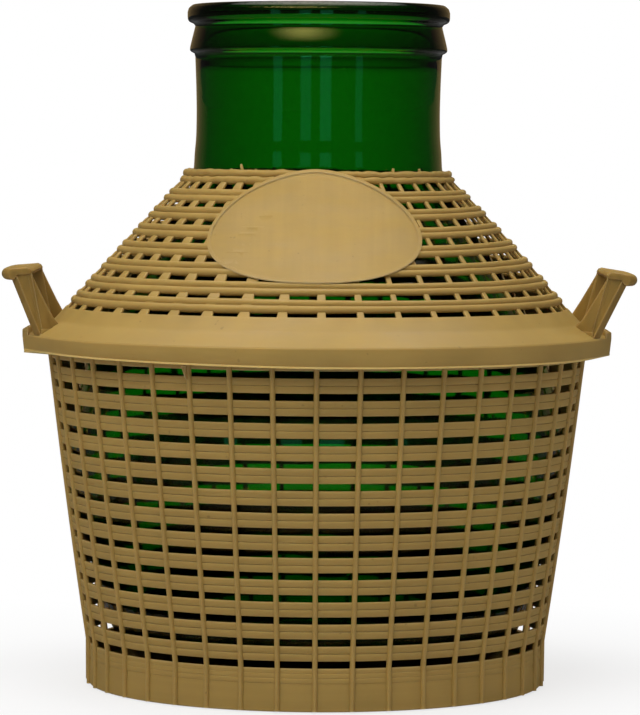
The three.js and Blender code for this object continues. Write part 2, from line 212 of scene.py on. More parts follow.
# Bottle: lines of its section, and the wall's thickness by height
GLASS_STEPS = 144
GLASS_WALL = ((30.0, 6.5), (105.0, 3.6), (200.0, 3.6), (260.0, 4.0))
BODY_STEPS = 7
BODY_LINE = (
    (86, 10), (96.5, 15.5), (106, 28), (115, 54), (123, 84), (127.4, 106), (129, 124), (127.8, 142),
    (122.8, 164), (109.5, 194), (85.2, 231), (67.6, 257), (64.2, 279), (63.5, 294), (63.7, 310),
    (64.3, 326.6),
)
MOUTH_STEPS = 3
BEAD_LINE = ((64.7, 328.4), (66.6, 329.5), (67.1, 330.8), (66.4, 334.4), (64.9, 340.4))
LIP_LINE = ((64.4, 342.6), (65.3, 343.9), (67.3, 344.8), (68.3, 346.4), (68.4, 349.9))
LIP_TOP_LINE = ((67.8, 351.9), (66.0, 353.5), (64.2, 353.8), (61.4, 353.4), (60.1, 351.4))
BORE_STEPS = 4
NECK_LINE = ((60.0, 346.0), (60.0, 330.0), (59.2, 325.5), (60.0, 321.0))
CAVITY = (23.0, 320.0)
BOTTOM_LINE = ((82, 18.8), (70, 18.2), (52, 23.4), (26, 25.6), (0, 26))
UNDER_LINE = ((0, 19), (26, 18.6), (52, 16.3), (70, 11.2), (78, 10.0))
GLASS_CREASE = 60.0

# Handles
HANDLE_LENGTH = 82.0
HANDLE_FOOT = (142.0, 0.0, 183.0)
HANDLE_ROUNDING = 0.3
RIGHT_LEAN = 4.4
LEFT_LEAN = 0.0
LEG_THICKNESS = 5.0
LEG_CHAMFER = 3.2
LEG_OUTLINE = ((140.3, 183.0), (145.4, 183.0), (158.2, 214.6), (146.6, 214.6))
PANEL_BORDER = 1.1
PANEL_DEPTH = 0.9
FIN_THICKNESS = 2.8
FIN_SHIFT = 0.4
FIN_OUTLINE = (
    (149.0, 214.8), (147.0, 214.8), (143.0, 206.5), (139.2, 198.8), (135.2, 191.4), (131.8, 187.9),
    (135.6, 186.0), (139.2, 184.4), (141.4, 183.0),
)
TANG = ((135.8, 174.4), (141.6, 186.0))
TANG_ROUNDING = 0.4
SLOT_CLEARANCE = 0.4
SLOT_TOP = 190.0
LIP = (160.7, 213.9)
LIP_RADIUS = 2.9
LIP_ROLL = (-140.0, 86.0)
LIP_STEPS = 14
GRIP_INNER = 146.4
GRIP_UNDER = [(147.0, 213.9), (156.8, 213.7)]
GRIP_OVER = [(149.8, 217.5), (147.6, 216.8), (GRIP_INNER, 215.3)]
GRIP_BEND = 43.8
GRIP_BEND_POWER = 4.0
GRIP_CUTS = 31
GRIP_ROUNDING = 0.5
GRIP_SHARP = 40.0

# Finishes
TAN = (0.45, 0.288, 0.075, 1.0)
# The handles' tan, darkened as painted shade to the tone of their legs in the grip's shade
HANDLE_SHADED_TAN = (0.32, 0.192, 0.041, 1.0)
# Painted shade laid into hollows
PAINTED_SHADE_COLOUR = (0.13, 0.075, 0.02, 1.0)
# Wear and painted highlight laid on sharp edges
WEAR_AND_HIGHLIGHT_COLOUR = (0.72, 0.56, 0.3, 1.0)
SPECK = (0.09, 0.05, 0.02, 1.0)
STREAK_DETAIL = 5.0
STREAK_ROUGHNESS = 0.6
MOTTLE_SCALE = 26.0
MOTTLE_DETAIL = 4.0
GRAIN_SCALE = 1100.0
GRAIN_DETAIL = 2.0
SPECK_SCALE = 310.0
SPECK_DETAIL = 1.0
SPECK_PEAKS = (0.76, 0.79)
# How far the painted shade looks into hollows, and its span
CREVICE_REACH = 0.003
CREVICE_OPEN = (0.2, 0.7)
# How far the wear and painted highlight reaches in from edges, and its span
BRINK_REACH = 0.0011
BRINK_OPEN = (0.45, 0.85)
OPENNESS_SAMPLES = 4
MIDDLING = (0.3, 0.7)
LEAST_PAINTED_SHADE = 0.5
SHEEN = (0.38, 0.54)
PAINTED_SHADE_DULLS = 0.25
STREAK_BUMP = 0.7
GRAIN_BUMP = 0.3
BUMP_DEPTH = 0.0004
FLOW_MARK = 0.04
FLOW_BAND = (0.1895, 0.1965)
FLOW_END = (0.197, 0.1985)
# Painted highlight along the flash at the skirt's foot
FLASH_HIGHLIGHT = 0.85
FLASH_HIGHLIGHT_FADE = 0.0002
BADGE_STREAK = 0.2
BADGE_STREAK_SCALE = (230.0, 10.0, 14.0)
BADGE_STREAK_DETAIL = 3.0
BADGE_STREAK_FADE = (0.6, 0.95)
GLASS_GREEN = (0.01, 0.675, 0.06, 1.0)
GLASS_DENSITY = 985.0
GLASS_SHEEN = (1.0, 0.92, 0.6, 1.0)
GLASS_ROUGHNESS = (0.01, 0.06)
GLASS_WAVES = (36.0, 36.0, 18.0)
WAVE_DETAIL = 1.0
WAVY_BELOW = (0.21, 0.27)
WAVES_LEFT = 0.2
SEED_SCALE = 42.0
SEED_SIZE = (0.02, 0.06)
SEED_HEIGHT = 0.06
SMEAR_SCALE = 60.0
SMEAR_DETAIL = 4.0
SMEARS = (0.4, 0.75)

# Studio: name, place, aim, size, power, and whether it is seen through glass
SOFTBOXES = (
    ("overhead_softbox", (-0.12, -0.5, 1.8), (0.0, 0.0, 0.2), (1.3, 1.0), 15.8, True),
    ("front_softbox", (-0.62, -1.48, 1.48), (0.0, 0.0, 0.12), (1.0, 0.6), 8.9, True),
    ("back_softbox", (0.3, 1.9, 0.9), (0.0, 0.0, 0.15), (1.6, 1.2), 16.0, False),
)
# Window panes that only the glass mirrors: degrees to the right, width, lowest, highest, strength
PANES = (
    (-37.6, 0.30, -0.06, 0.56, 0.9), (-11.4, 0.34, 0.15, 0.56, 0.8), (6.7, 0.36, 0.15, 0.56, 1.0),
    (37.6, 0.24, -0.06, 0.56, 0.7), (-11.4, 0.34, -0.05, 0.15, 3.0), (6.7, 0.36, -0.05, 0.15, 3.0),
)
PANE_REACH = 2.0
PANE_POWER = 2.4
PANE_COLOUR = (0.06, 0.95, 0.6)
WHITE = (1.0, 1.0, 1.0, 1.0)
DIM_ROOM = (0.03, 0.03, 0.03, 1.0)
BRIGHT_CEILING = (3.6, 3.7, 4.0, 1.0)
CEILING = (0.72, 1.0)
WARM_BEHIND = (0.24, 0.17, 0.08, 1.0)
BEHIND = (0.6, 0.95)
GLOW = (13.0, 11.6, 4.8, 1.0)
GLOW_TOWARDS = (-0.313, -0.782, 0.537)
GLOW_FALL = (1.25, 1.0, 9.5)
GLOW_POWER = 2.0
SIDES = (0.35, 0.95)
AMBIENT = (0.21, 0.48)
GROUND_SIZE = 200.0
GROUND_LEVEL = -0.0005
GROUND_SEEN = (0.97, 0.97, 0.97, 1.0)
GROUND_LIT = (0.62, 0.62, 0.62, 1.0)
GROUND_MIRRORED = (0.12, 0.12, 0.12, 1.0)
SHADOW_REACH = (0.14, 0.4)
SHADOW_CLEARED = 0.7
EYE = (0.001, -2.074, 0.28)
EYE_TURN = (86.965, -0.35, 0.0)
EYE_LENS = 199.7
EYE_SENSOR = 36.0
EYE_FAR = 50.0

noise.seed_set(UNEVEN_SEED)


# Mesh helpers

def clamped(value):
    return min(max(value, 0.0), 1.0)


def chain(bm, points, closed=False):
    """Vertices and edges through (out, height) points in the XZ plane."""
    verts = [bm.verts.new((out, 0.0, height)) for out, height in points]
    ends = verts[1:] + verts[:1] if closed else verts[1:]
    return verts, [bm.edges.new(pair) for pair in zip(verts, ends)]


def close_up(bm):
    """Doubles merged, then faces pointed outwards."""
    bmesh.ops.remove_doubles(bm, verts=bm.verts, dist=MERGE)
    bmesh.ops.recalc_face_normals(bm, faces=bm.faces)
    return bm


def turned(points, steps, closed=True):
    """Solid of revolution about Z from its section."""
    bm = bmesh.new()
    verts, edges = chain(bm, points, closed)
    bmesh.ops.spin(
        bm, geom=verts + edges, cent=(0, 0, 0), axis=(0, 0, 1), angle=FULL_TURN, steps=steps, use_merge=True
    )
    return close_up(bm)


def as_mesh(bm, name):
    mesh = bpy.data.meshes.new(name)
    bm.to_mesh(mesh)
    bm.free()
    return mesh


def gathered(shapes):
    """Several shapes that stay apart, in one mesh."""
    whole = bmesh.new()
    for shape in shapes:
        mesh = as_mesh(shape, "shape")
        whole.from_mesh(mesh)
        bpy.data.meshes.remove(mesh)
    return whole


def combined(base, tool, operation):
    """One closed skin from two closed shapes: UNION, DIFFERENCE or INTERSECT."""
    holders = [bpy.data.objects.new("shape", as_mesh(bm, "shape")) for bm in (base, tool)]
    for holder in holders:
        bpy.context.scene.collection.objects.link(holder)
    modifier = holders[0].modifiers.new("combine", "BOOLEAN")
    modifier.operation = operation
    modifier.solver = "MANIFOLD"
    modifier.object = holders[1]
    graph = bpy.context.evaluated_depsgraph_get()
    mesh = bpy.data.meshes.new_from_object(holders[0].evaluated_get(graph))
    result = bmesh.new()
    result.from_mesh(mesh)
    spent = [mesh] + [holder.data for holder in holders]
    for holder in holders:
        bpy.data.objects.remove(holder)
    for data in spent:
        bpy.data.meshes.remove(data)
    return result


def joined(*shapes):
    """One closed skin round several shapes."""
    result = shapes[0]
    for shape in shapes[1:]:
        result = combined(result, shape, "UNION")
    return result


def extruded(bm, face, offset):
    """Face pulled into a closed prism."""
    made = bmesh.ops.extrude_face_region(bm, geom=[face], use_keep_orig=True)["geom"]
    moved = [part for part in made if isinstance(part, bmesh.types.BMVert)]
    bmesh.ops.translate(bm, verts=moved, vec=offset)
    bmesh.ops.recalc_face_normals(bm, faces=bm.faces)
    return bm


def slab(points, low, high):
    """Side view in XZ pulled along Y from low to high."""
    bm = bmesh.new()
    face = bm.faces.new([bm.verts.new((x, low, z)) for x, z in points])
    return extruded(bm, face, (0, high - low, 0))


def block(low, high):
    """Box between two corners."""
    bm = bmesh.new()
    bmesh.ops.create_cube(bm, size=1.0)
    size = Vector(high) - Vector(low)
    bmesh.ops.scale(bm, vec=size, verts=bm.verts)
    bmesh.ops.translate(bm, vec=(Vector(low) + Vector(high)) / 2, verts=bm.verts)
    return bm


def softened(bm, width, segments=2, angle=30.0):
    """Edges sharper than the angle rounded over."""
    limit = math.radians(angle)
    edges = [edge for edge in bm.edges if edge.is_manifold and edge.calc_face_angle() > limit]
    bmesh.ops.bevel(
        bm, geom=edges, offset=width, affect="EDGES", segments=segments, profile=0.5, material=-1,
        clamp_overlap=True,
    )
    return bm


def edges_along(bm, axis):
    """Edges that run further than a millimetre along an axis."""
    found = []
    for edge in bm.edges:
        start, end = (vert.co[axis] for vert in edge.verts)
        if abs(start - end) > LONG_EDGE:
            found.append(edge)
    return found


def smooth_line(knots, steps):
    """Smooth curve through (out, height) knots."""
    points = [Vector((out, 0.0, height)) for out, height in knots]
    around_ends = [points[0]] + points + [points[-1]]
    slopes = [(after - before) / 2 for before, after in zip(around_ends, around_ends[2:])]
    line = []
    for i in range(len(points) - 1):
        handles = points[i] + slopes[i] / 3, points[i + 1] - slopes[i + 1] / 3
        line += interpolate_bezier(points[i], *handles, points[i + 1], steps + 1)[:-1]
    return [(at.x, at.z) for at in line + points[-1:]]


def from_table(table, at):
    """Value at a height or a place, from a rising table of (place, value)."""
    for (low, first), (high, second) in zip(table, table[1:]):
        if at < high:
            share = max((at - low) / (high - low), 0.0)
            return first + (second - first) * share
    return table[-1][1]


def offset_line(line, distances):
    """Line moved to its left by a distance that depends on the height."""
    moved = []
    for i, (out, height) in enumerate(line):
        before, after = line[max(i - 1, 0)], line[min(i + 1, len(line) - 1)]
        along = Vector((after[0] - before[0], after[1] - before[1])).normalized()
        distance = from_table(distances, height)
        moved.append((out - distance * along.y, height + distance * along.x))
    return moved


def spun(bm, angle, axis="Z", centre=(0, 0, 0)):
    """Shape turned about an axis through a centre."""
    bmesh.ops.rotate(bm, cent=centre, matrix=Matrix.Rotation(angle, 3, axis), verts=bm.verts)
    return bm


# Shapes shared by the basket and the cover

def collar_plate(inset, low, high):
    """Plate with the collar's outline: a round rim with a square-ended ear on each side."""
    ear_x, ear_y = EAR_REACH - EAR_CORNER, EAR_HALF_WIDTH - EAR_CORNER
    spread_angle = math.acos((RIM_RADIUS - EAR_CORNER) / math.hypot(ear_x, ear_y))
    turn = math.atan2(ear_y, ear_x) + spread_angle
    corner, rim = EAR_CORNER - inset, RIM_RADIUS - inset
    arcs = (
        ((ear_x, -ear_y), corner, -turn, 0.0, EAR_CORNER_STEPS),
        ((ear_x, ear_y), corner, 0.0, turn, EAR_CORNER_STEPS),
        ((0.0, 0.0), rim, turn, math.pi - turn, RIM_STEPS),
        ((-ear_x, ear_y), corner, math.pi - turn, math.pi, EAR_CORNER_STEPS),
        ((-ear_x, -ear_y), corner, math.pi, math.pi + turn, EAR_CORNER_STEPS),
        ((0.0, 0.0), rim, math.pi + turn, FULL_TURN - turn, RIM_STEPS),
    )
    bm = bmesh.new()
    for (x, y), radius, start, end, steps in arcs:
        first = bm.verts.new((x + radius * math.cos(start), y + radius * math.sin(start), low))
        bmesh.ops.spin(
            bm, geom=[first], cent=(x, y, low), axis=(0, 0, 1), angle=end - start, steps=steps,
            use_merge=False,
        )
    bm.verts.ensure_lookup_table()
    face = bm.faces.new(list(bm.verts))
    return extruded(bm, face, (0, 0, high - low))


def tang_slots(low, high):
    """Four blocks that cut the slots for the handles' tangs."""
    outer = HANDLE_LENGTH / 2 + SLOT_CLEARANCE
    inner = HANDLE_LENGTH / 2 - LEG_THICKNESS - SLOT_CLEARANCE
    near, far = TANG[0][0] - SLOT_CLEARANCE, TANG[1][0] + SLOT_CLEARANCE
    slots = []
    for x0, x1 in ((near, far), (-far, -near)):
        for y0, y1 in ((inner, outer), (-outer, -inner)):
            slots.append(block((x0, y0, low), (x1, y1, high)))
    return gathered(slots)


def disc(radius, low, high, steps):
    return turned([(0.0, low), (radius, low), (radius, high), (0.0, high)], steps, closed=False)


# Basket

def wall_radius(height):
    """Outer radius of the wall, which has draft and a slight belly."""
    belly = 1 - ((height - BELLY_HEIGHT) / BELLY_REACH) ** 2
    return WALL_RADIUS + WALL_DRAFT * (height - FOOT_TOP) + BELLY * max(belly, 0.0)


def reeded_front(low, high, reeds):
    """Outer line of a slat, bottom up: flattened reeds with a fine groove between them."""
    pitch = (high - low) / reeds
    line = []
    for reed in range(reeds):
        for share, bulge in zip(REED_LINE, REED_BULGE):
            height = low + pitch * (reed + share)
            line.append((wall_radius(height) - REED_GROOVE * (1 - bulge), height))
    line.append((wall_radius(high) - SLAT_EDGE, high))
    return line


def slat(low, high):
    """Ring of the wall between two gaps."""
    back = [
        (wall_radius(high) - SLAT_THICKNESS, high - SLAT_BACK_EDGE),
        (wall_radius(low) - SLAT_THICKNESS, low + SLAT_BACK_EDGE),
    ]
    return turned(reeded_front(low, high, SLAT_REEDS) + back, WALL_STEPS)


def foot_band():
    """Upright band that the basket stands on, with fine grooves near its top."""
    front = []
    for radius, height in reeded_front(FOOT_TOP - FOOT_REEDED, FOOT_TOP, FOOT_REEDS):
        front.append((FOOT_RADIUS + FOOT_REED_DEPTH * (radius - wall_radius(height)), height))
    inner = FOOT_RADIUS - SLAT_THICKNESS
    edge = [(inner, 0.0)] + [(FOOT_RADIUS + out, height) for out, height in FOOT_EDGE]
    return turned(edge + front + [(inner, FOOT_TOP - SLAT_BACK_EDGE)], WALL_STEPS)


def rib():
    """Upright rod with an oval section, on the +X side."""
    bm = bmesh.new()
    start = bmesh.ops.create_circle(bm, cap_ends=True, segments=RIB_SIDES, radius=1.0)["verts"]
    bmesh.ops.scale(bm, vec=(RIB_PROUD, RIB_HALF_WIDTH, 1.0), verts=start)
    bmesh.ops.translate(bm, vec=(FOOT_RADIUS - RIB_SUNK, 0.0, RIB_FOOT), verts=start)
    foot = start[0].link_faces[0]
    top = foot
    for step in range(RIB_STEPS + 1):
        height = FOOT_TOP + (RIM_TOP - FOOT_TOP) * step / RIB_STEPS
        made = bmesh.ops.extrude_face_region(bm, geom=[top], use_keep_orig=True)["geom"]
        middle = top.calc_center_median()
        if top is not foot:
            bmesh.ops.delete(bm, geom=[top], context="FACES_ONLY")
        top = next(part for part in made if isinstance(part, bmesh.types.BMFace))
        place = Vector((wall_radius(height) - RIB_SUNK, 0.0, height))
        bmesh.ops.translate(bm, verts=top.verts, vec=place - middle)
    bmesh.ops.recalc_face_normals(bm, faces=bm.faces)
    return bm


def around(shape, count, first):
    """Copies of a shape at equal angles about Z."""
    mesh = as_mesh(shape, "copy")
    copies = []
    for i in range(count):
        copy = bmesh.new()
        copy.from_mesh(mesh)
        copies.append(spun(copy, first + FULL_TURN * i / count))
    bpy.data.meshes.remove(mesh)
    return copies


def rib_web():
    """Small web left in the corner between one rib and the rim."""
    depth = wall_radius(RIM_TOP) - SLAT_THICKNESS, wall_radius(RIM_TOP) + RIB_PROUD * WEB_PROUD
    outline = [(-WEB_SUNK, WEB[0]), (-WEB_SUNK, WEB[1]), (-WEB_REACH, WEB[1])]
    web = slab(outline, *depth)
    bmesh.ops.scale(web, vec=(-1.0, 1.0, 1.0), verts=web.verts)
    bmesh.ops.recalc_face_normals(web, faces=web.faces)
    return spun(web, WEB_RIB * FULL_TURN / RIBS + math.pi)


def basket():
    """Foot band, floor, slats, ribs and the rim flange under the cover's skirt."""
    first = FOOT_TOP + SLAT_GAP
    slats = []
    for i in range(SLATS):
        low = first + i * SLAT_PITCH
        slats.append(slat(low, low + SLAT_PITCH - SLAT_GAP))
    rim_low = first + SLATS * SLAT_PITCH
    rim = [
        (wall_radius(rim_low) - SLAT_THICKNESS, rim_low),
        (wall_radius(rim_low), rim_low),
        (wall_radius(RIM_TOP), RIM_TOP),
        (wall_radius(RIM_TOP) - SLAT_THICKNESS, RIM_TOP),
    ]
    rings = gathered(slats + [foot_band(), turned(rim, WALL_STEPS)])
    ribs = joined(gathered(around(rib(), RIBS, -math.pi / 2)), rib_web())
    through = FLANGE[0] - CUT_OVER, FLANGE[1] + CUT_OVER
    openings = gathered([disc(FLANGE_BORE, *through, WALL_STEPS), tang_slots(*through)])
    flange = combined(collar_plate(FLANGE_INSET, *FLANGE), openings, "DIFFERENCE")
    return joined(rings, ribs, gathered([disc(FLOOR_RADIUS, *FLOOR, WALL_STEPS), flange]))


# Cover

def cone_point(height, sunk):
    """Point under the reeds' outer line at a height, sunk below it square to its slope."""
    radius = CONE_RADIUS + CONE_SPREAD * (CONE_HEIGHT - height)
    return Vector((radius, height)) - sunk * OUT_OF_SLOPE


def left_share(angle):
    """1 on the cover's left half, where the moulding is fuller, and 0 on its right half."""
    return clamped(0.5 - math.cos(angle) / (2 * LEFT_BLEND))


def shaken(bm, amount, pitch):
    """Small unevenness of a moulding, the same in every run."""
    for vert in bm.verts:
        vert.co += amount * noise.noise_vector(vert.co * pitch)


def reed_ring(centre, spacing, radius, along):
    """Ring of two round reeds side by side, fuller on the left half."""
    across = Vector((along.y, -along.x))
    section = []
    for side in (1.0, -1.0):
        middle = centre + side * spacing / 2 * along
        for step in range(REED_SIDES):
            angle = math.radians(REED_REACH - 2 * REED_REACH * step / (REED_SIDES - 1))
            section.append(middle + radius * side * (math.cos(angle) * along + math.sin(angle) * across))
    ring = turned([(at.x, at.y) for at in section], CONE_STEPS)
    for vert in ring.verts:
        angle = math.atan2(vert.co.y, vert.co.x)
        middle = Vector((centre.x * math.cos(angle), centre.x * math.sin(angle), centre.y))
        vert.co = middle + (vert.co - middle) * (1 + LEFT_SWELL * left_share(angle))
    shaken(ring, UNEVEN, UNEVEN_PITCH)
    return ring


def lattice_bar(share):
    """Bar under the rings on the +X side; share is 1 for a full beaded bar and 0 for a slim straight one."""
    width, depth = (slim + (full - slim) * share for slim, full in zip(BAR_SLIM, BAR_FULL))
    sunk = BAR_SLIM_SUNK + (BAR_FULL_SUNK - BAR_SLIM_SUNK) * share + depth / 2
    foot, top = cone_point(BAR_FOOT, sunk), cone_point(BAR_TOP, sunk)
    length = (top - foot).length
    bm = block((-depth / 2, -width / 2, 0.0), (depth / 2, width / 2, length))
    bmesh.ops.bevel(
        bm, geom=edges_along(bm, UPRIGHT), offset=BAR_ROUNDING, affect="EDGES", segments=3, profile=0.5,
        material=-1,
    )
    bmesh.ops.subdivide_edges(bm, edges=edges_along(bm, UPRIGHT), cuts=BAR_CUTS, use_grid_fill=True)
    pitch = RING_RISE / math.cos(SLOPE)
    first = (TOP_RING - RING_ROWS * RING_RISE - BAR_FOOT) / math.cos(SLOPE)
    for vert in bm.verts:
        swell = math.sin(math.pi * (vert.co.z - first) / pitch) ** 2
        vert.co.y *= (1.0 - BAR_TAPER * vert.co.z / length) * (1.0 + BAR_BEAD * share * swell)
        vert.co.x += BAR_BULGE * share * min(2.0 * swell, 1.0) * min(vert.co.z / BAR_RISE, 1.0)
    spun(bm, -math.atan2(foot.x - top.x, top.y - foot.y), "Y")
    bmesh.ops.translate(bm, vec=(foot.x, 0, foot.y), verts=bm.verts)
    bmesh.ops.recalc_face_normals(bm, faces=bm.faces)
    return bm


def badge_prism(inset):
    """Egg outline of the badge pulled backwards through the front of the cone."""
    width, rise, drop = BADGE_HALF_WIDTH - inset, BADGE_RISE - inset, BADGE_DROP - inset
    bm = bmesh.new()
    verts = []
    for i in range(BADGE_POINTS):
        angle = FULL_TURN * (i + 0.5) / BADGE_POINTS
        across, up = math.cos(angle), math.sin(angle)
        power = 2 / (BADGE_RISE_POWER if up > 0 else BADGE_DROP_POWER)
        x = math.copysign(abs(across) ** power, across) * width
        z = math.copysign(abs(up) ** power, up) * (rise if up > 0 else drop)
        verts.append(bm.verts.new((x, -RIM_RADIUS, BADGE_WIDEST + z)))
    return extruded(bm, bm.faces.new(verts), (0, RIM_RADIUS, 0))


def cone_skin(proud, back):
    """Shell round the cone's reeds, rising over the double reed at its top."""
    low, high = BADGE_SKIN
    heights = [low + (high - low) * step / SKIN_STEPS for step in range(SKIN_STEPS + 1)]
    section = [cone_point(height, -proud - from_table(BADGE_LIFT, height)) for height in heights]
    section += [cone_point(high, back), cone_point(low, back)]
    return turned([(at.x, at.y) for at in section], CONE_STEPS)


def badge():
    """Egg-shaped plate on the front of the cone, with a raised border."""
    plate = combined(cone_skin(BADGE_PROUD, BADGE_BACK), badge_prism(0.0), "INTERSECT")
    for outer, inner, proud in BADGE_RIDGE:
        ridge = combined(cone_skin(proud, BADGE_RIDGE_BACK), badge_prism(outer), "INTERSECT")
        plate = joined(plate, combined(ridge, badge_prism(inner), "DIFFERENCE"))
    return spun(plate, BADGE_TURN)


def drafted(vert):
    """Foot of the skirt drawn in, and lifted towards the ears."""
    vert.co.x *= 1.0 - SKIRT_DRAFT / RIM_RADIUS
    vert.co.y *= 1.0 - SKIRT_DRAFT / RIM_RADIUS
    vert.co.z += from_table(SKIRT_LIFT, vert.co.x)


def flash():
    """Thin ragged edge left by the mould along the foot of the skirt, flaring outwards."""
    low, high = (SKIRT_BOTTOM + height for height in FLASH)
    plate = collar_plate(0.0, low, high)
    outline = [edge for edge in plate.edges if edge.verts[0].co.z == edge.verts[1].co.z]
    bmesh.ops.subdivide_edges(plate, edges=outline, cuts=FLASH_CUTS)
    for vert in plate.verts:
        foot = vert.co.z < high
        drafted(vert)
        if foot:
            flat = Vector((vert.co.x, vert.co.y, 0.0))
            ragged = FLASH_RAGGED * noise.noise(flat * FLASH_PITCH)
            flared = flat.normalized() * (FLASH_REACH + ragged) + Vector((0.0, 0.0, ragged / 2))
            faded = (FLASH_ENDS[1] - abs(vert.co.x)) / (FLASH_ENDS[1] - FLASH_ENDS[0])
            vert.co += clamped(faded) * flared
    hollow = collar_plate(SKIRT_THICKNESS / 2, low - CUT_OVER, high + FLASH_CUT_TOP)
    return combined(plate, hollow, "DIFFERENCE")


def ear_lips():
    """Raised outer edges of the two ears."""
    top = LEDGE[1] + EAR_LIP_RISE
    plate = softened(collar_plate(0.0, LEDGE[1] - EAR_LIP_SUNK, top), EAR_LIP_ROUNDING, 2, SQUARE_EDGE)
    hollow = collar_plate(EAR_LIP_WIDTH, LEDGE[1] - 2 * CUT_OVER, top + CUT_OVER)
    low, high = EAR_END_HEIGHTS
    ends = [block((near, -EAR_END_DEPTH, low), (far, EAR_END_DEPTH, high)) for near, far in EAR_ENDS]
    return combined(combined(plate, hollow, "DIFFERENCE"), gathered(ends), "INTERSECT")


def collar():
    """Ledge with its ears, hanging skirt and raised ear ends."""
    plate = collar_plate(0.0, SKIRT_BOTTOM, LEDGE[1])
    for vert in plate.verts:
        if vert.co.z < LEDGE[0]:
            drafted(vert)
    plate = softened(plate, LEDGE_ROUNDING, 3, SQUARE_EDGE)
    hollow = collar_plate(SKIRT_THICKNESS, SKIRT_BOTTOM - CUT_OVER, LEDGE[0])
    bore = disc(LEDGE_BORE, LEDGE[0] - CUT_OVER, LEDGE[1] + CUT_OVER, CONE_STEPS)
    shell = combined(combined(plate, hollow, "DIFFERENCE"), bore, "DIFFERENCE")
    return joined(shell, ear_lips(), flash())


def flare():
    """Smooth band of the cone, turning into the sloping ledge at a soft crease."""
    return turned(FLARE_OUTSIDE + FLARE_INSIDE, CONE_STEPS)


def trimmed_stub(angle, height, lean):
    """Rough stub left on the cone's top ring."""
    length = height + STUB_SUNK
    foot_radius, top_radius = STUB_RADII
    bm = bmesh.new()
    bmesh.ops.create_cone(
        bm, cap_ends=True, segments=STUB_SIDES, radius1=foot_radius, radius2=top_radius, depth=length
    )
    bmesh.ops.translate(bm, vec=(0, 0, length / 2), verts=bm.verts)
    spun(bm, lean, "X")
    bmesh.ops.translate(bm, vec=STUB_PLACE, verts=bm.verts)
    return spun(bm, math.radians(angle) - math.pi / 2)


def right_lift(bm):
    """Lattice of the cone pushed up a little at the right side."""
    for vert in bm.verts:
        share = clamped((vert.co.z - BAR_FOOT) / (TOP_RING - BAR_FOOT))
        facing = max(vert.co.x, 0.0) / math.hypot(vert.co.x, vert.co.y)
        vert.co.z += RIGHT_LIFT * facing ** RIGHT_LIFT_POWER * math.sin(math.pi * share)


def cover():
    """Cone of rings and bars with its badge, on the flared collar with slots for the handles."""
    rings = []
    for row in range(1, RING_ROWS + 1):
        height = TOP_RING - RING_RISE * row + (LAST_RING_LIFT if row == RING_ROWS else 0.0)
        centre = cone_point(height + REED_RADIUS * OUT_OF_SLOPE.y, REED_RADIUS)
        rings.append(reed_ring(centre, REED_SPACING, REED_RADIUS, UP_SLOPE))
    lean = Vector(RIM_RING_LEAN).normalized()
    rim = reed_ring(Vector(RIM_RING), RIM_REED_SPACING, RIM_REED_RADIUS, lean)
    shaken(rim, RIM_UNEVEN, RIM_UNEVEN_PITCH)
    bars = []
    for i in range(BARS):
        angle = BAR_FIRST + FULL_TURN * i / BARS
        bars.append(spun(lattice_bar(left_share(angle)), angle))
    stubs = gathered([trimmed_stub(*stub) for stub in STUBS])
    lattice = joined(gathered(rings + [rim]), gathered(bars), badge(), stubs)
    right_lift(lattice)
    whole = joined(lattice, flare(), collar())
    return combined(whole, tang_slots(LEDGE[0] - CUT_OVER, SLOT_TOP), "DIFFERENCE")


# Bottle

def bottle():
    """Blown bottle with a push-up bottom, bead and rounded lip."""
    body = smooth_line(BODY_LINE, BODY_STEPS)
    bead, lip, lip_top = (smooth_line(line, MOUTH_STEPS) for line in (BEAD_LINE, LIP_LINE, LIP_TOP_LINE))
    cavity = [at for at in offset_line(body, GLASS_WALL) if CAVITY[0] < at[1] < CAVITY[1]]
    cavity.reverse()
    under, neck, bottom = (smooth_line(line, BORE_STEPS) for line in (UNDER_LINE, NECK_LINE, BOTTOM_LINE))
    section = under + body + bead + lip + lip_top + neck + cavity + bottom
    return turned(section, GLASS_STEPS, closed=False)


# Handles

def leg(low, side):
    """Leg on the +X side with a sunk panel in its outer face and a fin; side is -1 where that is -Y."""
    def outwards(edge):
        return sum(vert.co.x + side * vert.co.y for vert in edge.verts)

    high = low + LEG_THICKNESS
    beam = slab(LEG_OUTLINE, low, high)
    brink = max(edges_along(beam, UPRIGHT), key=outwards)
    bmesh.ops.bevel(
        beam, geom=[brink], offset=LEG_CHAMFER, affect="EDGES", segments=1, profile=0.5, material=-1
    )
    faces = [face for face in beam.faces if face.normal.y * side > FACING]
    bmesh.ops.inset_individual(beam, faces=faces, thickness=PANEL_BORDER, depth=-PANEL_DEPTH)
    beam = softened(beam, HANDLE_ROUNDING)
    middle = low + LEG_THICKNESS / 2 + side * FIN_SHIFT
    fin = slab(FIN_OUTLINE, middle - FIN_THICKNESS / 2, middle + FIN_THICKNESS / 2)
    tang = block((TANG[0][0], low, TANG[0][1]), (TANG[1][0], high, TANG[1][1]))
    return joined(beam, softened(fin, HANDLE_ROUNDING), softened(tang, TANG_ROUNDING))


def grip():
    """Plate with a rolled outer lip, bent round towards its ends."""
    half = HANDLE_LENGTH / 2
    lip = []
    for step in range(LIP_STEPS + 1):
        turn = math.radians(LIP_ROLL[0] + (LIP_ROLL[1] - LIP_ROLL[0]) * step / LIP_STEPS)
        lip.append((LIP[0] + LIP_RADIUS * math.cos(turn), LIP[1] + LIP_RADIUS * math.sin(turn)))
    bar = slab(GRIP_UNDER + lip + GRIP_OVER, -half, half)
    bmesh.ops.subdivide_edges(bar, edges=edges_along(bar, LENGTHWISE), cuts=GRIP_CUTS, use_grid_fill=True)
    for vert in bar.verts:
        bend = (1.0 - abs(vert.co.y / GRIP_BEND) ** GRIP_BEND_POWER) ** (1.0 / GRIP_BEND_POWER)
        vert.co.x = GRIP_INNER + (vert.co.x - GRIP_INNER) * bend
    return softened(bar, GRIP_ROUNDING, 3, GRIP_SHARP)


